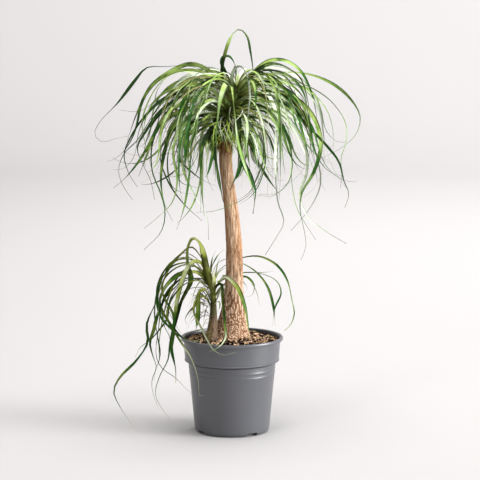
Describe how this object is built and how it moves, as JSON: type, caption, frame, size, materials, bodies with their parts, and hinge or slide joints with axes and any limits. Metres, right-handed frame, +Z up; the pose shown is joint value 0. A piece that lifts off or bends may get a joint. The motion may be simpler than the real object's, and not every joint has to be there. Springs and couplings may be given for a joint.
{
  "type": "potted ponytail palm",
  "caption": "Ponytail palm with a bare corky trunk on a swollen foot, a fountain of long ribbon leaves and a young leafy side shoot, standing in bark chips in a tapered plastic pot.",
  "frame": {"origin": "middle of the flat underside of the pot, on the surface the pot stands on", "axes": "+Z up along the pot's axis, +X to the right and +Y away from the viewer, with the young shoot on the -X side"},
  "size_m": [0.54, 0.3645, 0.8242],
  "materials": {
    "pot_plastic": "satin grey injection-moulded plastic",
    "bark_chips": "loose tan and brown bark and coconut-husk chips",
    "bark": "tan corky bark with long furrows and small cracked plates on the foot",
    "crown_leaf": "waxy dark green ribbon leaves with a pale sheen and dry grey tips",
    "shoot_sheath": "smooth purple-brown leaf sheath",
    "shoot_leaf": "waxy green ribbon leaves, lighter than the crown's"
  },
  "bodies": {
    "root": {"pot": "pot_plastic", "bark_chips": "bark_chips", "trunk": "bark", "crown_leaves": "crown_leaf", "shoot_stem": "shoot_sheath", "shoot_leaves": "shoot_leaf"}
  },
  "joints": []
}
